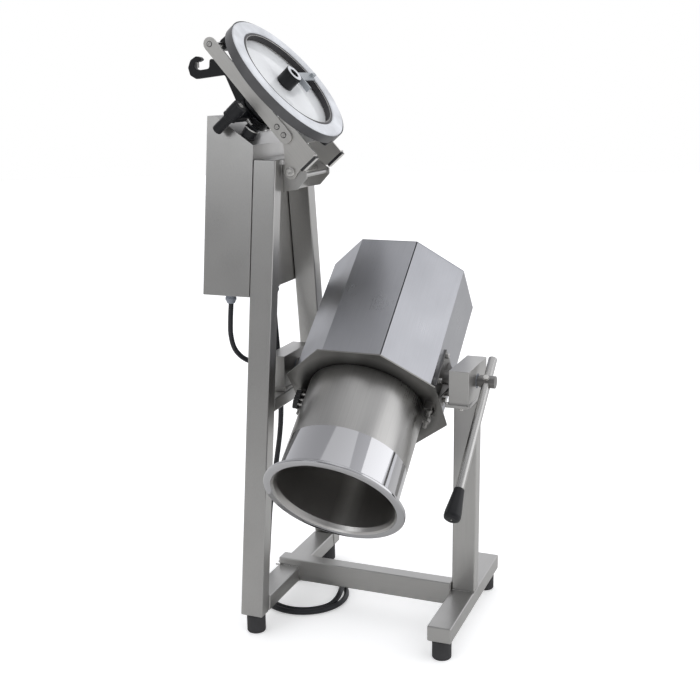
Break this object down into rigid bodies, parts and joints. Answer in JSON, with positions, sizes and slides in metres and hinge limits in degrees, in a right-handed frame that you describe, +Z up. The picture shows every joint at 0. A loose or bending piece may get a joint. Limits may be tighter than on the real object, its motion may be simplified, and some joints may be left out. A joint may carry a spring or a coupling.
{
  "type": "tilting vertical cutter mixer",
  "caption": "Floor-standing stainless cutter mixer with a tilting bowl and motor housing, windowed swing lid, hand-turned scraper, tilt lever and control box.",
  "frame": {"origin": "middle of the bounding box in plan, on the floor, without the mains lead", "axes": "+Z up, X along the tilt axis with the control box on the -X side, the bowl pours towards -Y"},
  "size_m": [0.816, 0.7464, 1.5185],
  "materials": {
    "brushed_steel": "brushed stainless",
    "bowl_steel": "polished stainless",
    "dark_steel": "dull plate",
    "motor_grey": "painted cast housing",
    "black_plastic": "moulded",
    "black_rubber": "matt",
    "white_plastic": "satin",
    "grey_plastic": "moulded",
    "clear_plastic": "clear",
    "cable_black": "sheath"
  },
  "bodies": {
    "stand": {"left_front_leg": "brushed_steel", "left_rear_leg": "brushed_steel", "left_top_rail": "brushed_steel", "left_base_rail": "brushed_steel", "right_base_rail": "brushed_steel", "cross_member": "brushed_steel", "right_column": "brushed_steel", "left_bearing_beam": "brushed_steel", "foot_left_front": "black_rubber", "foot_left_rear": "black_rubber", "foot_right_front": "black_rubber", "foot_right_rear": "black_rubber", "bearing_housing_left": "brushed_steel", "bearing_housing_right": "brushed_steel", "bearing_bush_left": "grey_plastic", "bearing_bush_right": "grey_plastic", "hinge_bracket": "brushed_steel", "hinge_pin": "bowl_steel", "control_box": "brushed_steel", "control_box_cover": "brushed_steel", "cable_gland_motor": "grey_plastic", "cable_gland_mains": "grey_plastic", "motor_cable": "cable_black", "mains_cable": "cable_black", "mains_coil": "cable_black", "mains_cable_end": "cable_black", "mains_plug": "black_plastic"},
    "bowl_unit": {"bowl": "bowl_steel", "collar_plate": "dark_steel", "housing_cover_right": "brushed_steel", "housing_cover_left": "brushed_steel", "housing_end_cap": "brushed_steel", "motor": "motor_grey", "trunnion_left": "dark_steel", "trunnion_right": "dark_steel", "tilt_lever": "brushed_steel", "lever_grip": "black_plastic"},
    "blades": {"motor_shaft": "bowl_steel", "knife_lower": "bowl_steel", "knife_upper": "bowl_steel"},
    "swing_latch_left": {"latch_left": "dark_steel"},
    "swing_latch_right": {"latch_right": "dark_steel"},
    "tilt_lock": {"index_plunger": "black_plastic"},
    "lid": {"lid_ring": "white_plastic", "lid_gasket": "black_rubber", "lid_window": "clear_plastic", "lid_bridge": "black_plastic", "arm_end_rod": "brushed_steel", "scraper_hub": "black_plastic", "lid_side_plate_front": "brushed_steel", "lid_side_plate_rear": "brushed_steel", "lid_arm_front": "brushed_steel", "lid_arm_rear": "brushed_steel"},
    "scraper": {"scraper_spindle": "black_plastic", "scraper_crank": "black_plastic", "crank_knob": "black_plastic", "scraper_blade": "grey_plastic"},
    "start_switch": {"start_button": "black_plastic"},
    "stop_switch": {"stop_button": "black_plastic"},
    "speed_switch": {"speed_selector": "black_plastic"}
  },
  "joints": [
    {"name": "bowl_tilt", "type": "hinge", "parent": "stand", "child": "bowl_unit", "pos_m": [0.0945, 0.0344, 0.6485], "axis": [-1, 0, 0], "range_deg": [0, 129.4]},
    {"name": "blade_spin", "type": "hinge", "parent": "bowl_unit", "child": "blades", "pos_m": [0.0945, 0.0344, 0.6485], "axis": [0, -0.7727, -0.6347], "continuous": true},
    {"name": "latch_left_swing", "type": "hinge", "parent": "bowl_unit", "child": "swing_latch_left", "pos_m": [-0.0735, -0.04287, 0.58503], "axis": [0, 0.6347, -0.7727], "range_deg": [0, 50]},
    {"name": "latch_right_swing", "type": "hinge", "parent": "bowl_unit", "child": "swing_latch_right", "pos_m": [0.2625, -0.04287, 0.58503], "axis": [0, -0.6347, 0.7727], "range_deg": [0, 50]},
    {"name": "tilt_lock_pull", "type": "slide", "parent": "bowl_unit", "child": "tilt_lock", "axis": [-1, 0, 0], "range_m": [0, 0.004], "stiffness_N_per_m": 600, "springref_m": -0.002},
    {"name": "lid_swing", "type": "hinge", "parent": "stand", "child": "lid", "pos_m": [-0.0949, 0.0344, 1.1574], "axis": [0, 1, 0], "range_deg": [0, 131.2]},
    {"name": "scraper_turn", "type": "hinge", "parent": "lid", "child": "scraper", "pos_m": [-0.21965, 0.0344, 1.2999], "axis": [-0.7524, 0, -0.6587], "range_deg": [0, 120]},
    {"name": "start_press", "type": "slide", "parent": "stand", "child": "start_switch", "axis": [-0.5564, 0, -0.8309], "range_m": [0, 0.003], "stiffness_N_per_m": 400, "springref_m": -0.002},
    {"name": "stop_press", "type": "slide", "parent": "stand", "child": "stop_switch", "axis": [-0.5564, 0, -0.8309], "range_m": [0, 0.003], "stiffness_N_per_m": 400, "springref_m": -0.002},
    {"name": "speed_select", "type": "hinge", "parent": "stand", "child": "speed_switch", "pos_m": [-0.20667, -0.0506, 1.24056], "axis": [0.5564, 0, 0.8309], "range_deg": [-45, 45]}
  ]
}
